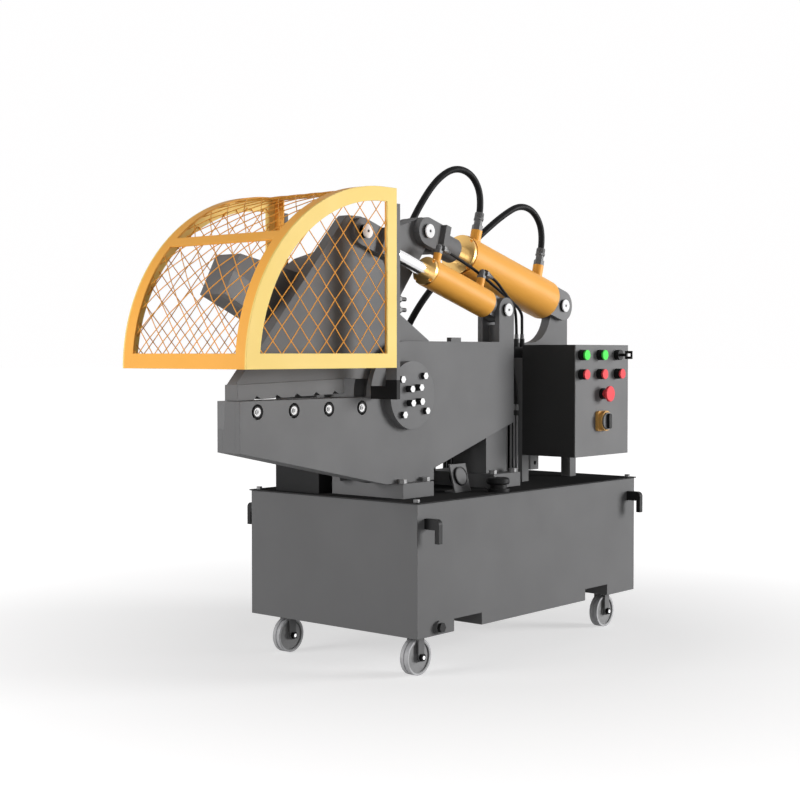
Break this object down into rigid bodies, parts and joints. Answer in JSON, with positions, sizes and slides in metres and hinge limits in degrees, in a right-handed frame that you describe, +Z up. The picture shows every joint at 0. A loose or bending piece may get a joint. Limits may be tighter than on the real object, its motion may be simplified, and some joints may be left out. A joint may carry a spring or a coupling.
{
  "type": "hydraulic alligator shear",
  "caption": "Hydraulic alligator shear: a hinged upper blade cuts scrap against a fixed lower jaw, with clamp arm, mesh guard, rams and control box, on a wheeled oil tank.",
  "frame": {"origin": "on the floor under the middle of the oil tank", "axes": "+X from the jaw towards the main cylinder's rear pin, -Y towards the operator's side with the controls, +Z up"},
  "size_m": [1.48, 0.668, 1.2619],
  "materials": {
    "grey_paint": "satin",
    "orange_paint": "satin",
    "black_paint": "satin",
    "bright_steel": "brushed",
    "blade_steel": "ground",
    "chrome_rod": "polished",
    "mesh_wire": "satin",
    "motor_paint": "satin",
    "hose_rubber": "matte",
    "wheel_tyre": "matte",
    "black_plastic": "matte",
    "green_plastic": "gloss",
    "red_plastic": "gloss",
    "brass_plate": "satin",
    "pump_iron": "cast",
    "gauge_case": "polished"
  },
  "bodies": {
    "base": {"tank_shell": "grey_paint", "tank_lid": "grey_paint", "lifting_hooks": "black_paint", "drain_plug": "bright_steel", "caster_forks": "grey_paint", "pins_and_axles": "bright_steel", "near_side_plate": "grey_paint", "inner_side_plate": "grey_paint", "far_side_plate": "grey_paint", "cylinder_post": "grey_paint", "frame_fillers": "grey_paint", "foot_blocks": "grey_paint", "frame_bolts": "bright_steel", "pivot_flange": "grey_paint", "lower_blade": "blade_steel", "lower_blade_bolts": "bright_steel", "guard_frame": "orange_paint", "guard_side_mesh": "mesh_wire", "guard_front_mesh": "mesh_wire", "guard_supports": "grey_paint", "control_box": "grey_paint", "control_panel": "grey_paint", "box_posts": "grey_paint", "button_bezels": "black_plastic", "rotary_base": "brass_plate", "motor": "motor_paint", "pump": "pump_iron", "manifold": "blade_steel", "solenoid_valves": "black_plastic", "gauge_bracket": "grey_paint", "pressure_gauge": "gauge_case", "filler_neck": "black_plastic", "hose_main_front": "hose_rubber", "hose_main_rear": "hose_rubber", "hose_clamp_front": "hose_rubber", "hose_clamp_rear": "hose_rubber"},
    "upper_jaw": {"upper_jaw": "grey_paint", "upper_blade": "blade_steel"},
    "clamp": {"clamp_arm": "grey_paint"},
    "main_cylinder": {"main_barrel": "orange_paint", "main_fittings": "bright_steel"},
    "main_ram": {"main_rod": "chrome_rod", "main_clevis": "grey_paint"},
    "clamp_cylinder": {"clamp_barrel": "orange_paint", "clamp_fittings": "blade_steel"},
    "clamp_ram": {"clamp_rod": "chrome_rod", "clamp_clevis": "grey_paint"},
    "wheel_front_near": {"wheel_front_near": "wheel_tyre"},
    "wheel_front_far": {"wheel_front_far": "wheel_tyre"},
    "wheel_rear_near": {"wheel_rear_near": "wheel_tyre"},
    "wheel_rear_far": {"wheel_rear_far": "wheel_tyre"},
    "green_button_1": {"green_button_1": "green_plastic"},
    "green_button_2": {"green_button_2": "green_plastic"},
    "red_button_1": {"red_button_1": "red_plastic"},
    "red_button_2": {"red_button_2": "red_plastic"},
    "red_button_3": {"red_button_3": "red_plastic"},
    "key_switch": {"key_switch": "black_plastic"},
    "estop_button": {"estop_button": "red_plastic"},
    "rotary_handle": {"rotary_handle": "black_plastic"},
    "filler_cap": {"filler_cap": "black_plastic"}
  },
  "joints": [
    {"name": "upper_jaw_swing", "type": "hinge", "parent": "base", "child": "upper_jaw", "pos_m": [-0.388, -0.0555, 0.667], "axis": [0, -1, 0], "range_deg": [0, 27]},
    {"name": "main_cylinder_swing", "type": "hinge", "parent": "base", "child": "main_cylinder", "pos_m": [0.405, -0.0555, 0.903], "axis": [0, -1, 0], "range_deg": [0, 1.1], "deforming": ["hose_main_front", "hose_main_rear"]},
    {"name": "main_ram_slide", "type": "slide", "parent": "main_cylinder", "child": "main_ram", "axis": [-0.964, 0, 0.2657], "range_m": [0, 0.2065]},
    {"name": "clamp_swing", "type": "hinge", "parent": "base", "child": "clamp", "pos_m": [-0.388, -0.131, 0.667], "axis": [0, -1, 0], "range_deg": [-22, 0]},
    {"name": "clamp_cylinder_swing", "type": "hinge", "parent": "base", "child": "clamp_cylinder", "pos_m": [0.0205, -0.131, 0.881], "axis": [0, -1, 0], "range_deg": [-9.3, 0], "deforming": ["hose_clamp_front", "hose_clamp_rear"]},
    {"name": "clamp_ram_slide", "type": "slide", "parent": "clamp_cylinder", "child": "clamp_ram", "axis": [-0.9562, 0, 0.2926], "range_m": [-0.133, 0]},
    {"name": "wheel_front_near_roll", "type": "hinge", "parent": "base", "child": "wheel_front_near", "pos_m": [-0.411, -0.213, 0.044], "axis": [0, 1, 0], "continuous": true},
    {"name": "wheel_front_far_roll", "type": "hinge", "parent": "base", "child": "wheel_front_far", "pos_m": [-0.411, 0.213, 0.044], "axis": [0, 1, 0], "continuous": true},
    {"name": "wheel_rear_near_roll", "type": "hinge", "parent": "base", "child": "wheel_rear_near", "pos_m": [0.411, -0.213, 0.044], "axis": [0, 1, 0], "continuous": true},
    {"name": "wheel_rear_far_roll", "type": "hinge", "parent": "base", "child": "wheel_rear_far", "pos_m": [0.411, 0.213, 0.044], "axis": [0, 1, 0], "continuous": true},
    {"name": "green_button_1_press", "type": "slide", "parent": "base", "child": "green_button_1", "axis": [0, 1, 0], "range_m": [0, 0.003], "stiffness_N_per_m": 400, "springref_m": -0.006},
    {"name": "green_button_2_press", "type": "slide", "parent": "base", "child": "green_button_2", "axis": [0, 1, 0], "range_m": [0, 0.003], "stiffness_N_per_m": 400, "springref_m": -0.006},
    {"name": "red_button_1_press", "type": "slide", "parent": "base", "child": "red_button_1", "axis": [0, 1, 0], "range_m": [0, 0.003], "stiffness_N_per_m": 400, "springref_m": -0.006},
    {"name": "red_button_2_press", "type": "slide", "parent": "base", "child": "red_button_2", "axis": [0, 1, 0], "range_m": [0, 0.003], "stiffness_N_per_m": 400, "springref_m": -0.006},
    {"name": "red_button_3_press", "type": "slide", "parent": "base", "child": "red_button_3", "axis": [0, 1, 0], "range_m": [0, 0.003], "stiffness_N_per_m": 400, "springref_m": -0.006},
    {"name": "estop_press", "type": "slide", "parent": "base", "child": "estop_button", "axis": [0, 1, 0], "range_m": [0, 0.005]},
    {"name": "key_turn", "type": "hinge", "parent": "base", "child": "key_switch", "pos_m": [0.343, -0.314, 0.763], "axis": [0, -1, 0], "range_deg": [-90, 0]},
    {"name": "rotary_turn", "type": "hinge", "parent": "base", "child": "rotary_handle", "pos_m": [0.266, -0.319, 0.586], "axis": [0, -1, 0], "range_deg": [-90, 0]},
    {"name": "filler_cap_turn", "type": "hinge", "parent": "base", "child": "filler_cap", "pos_m": [-0.122, -0.243, 0.438], "axis": [0, 0, 1], "range_deg": [0, 120]}
  ],
  "couplings": [
    {"joint": "main_cylinder_swing", "follows": "upper_jaw_swing", "ratio": 0.038147},
    {"joint": "main_ram_slide", "follows": "upper_jaw_swing", "m_per_rad": 0.43708},
    {"joint": "clamp_cylinder_swing", "follows": "clamp_swing", "ratio": 0.42097},
    {"joint": "clamp_ram_slide", "follows": "clamp_swing", "m_per_rad": 0.3453}
  ]
}
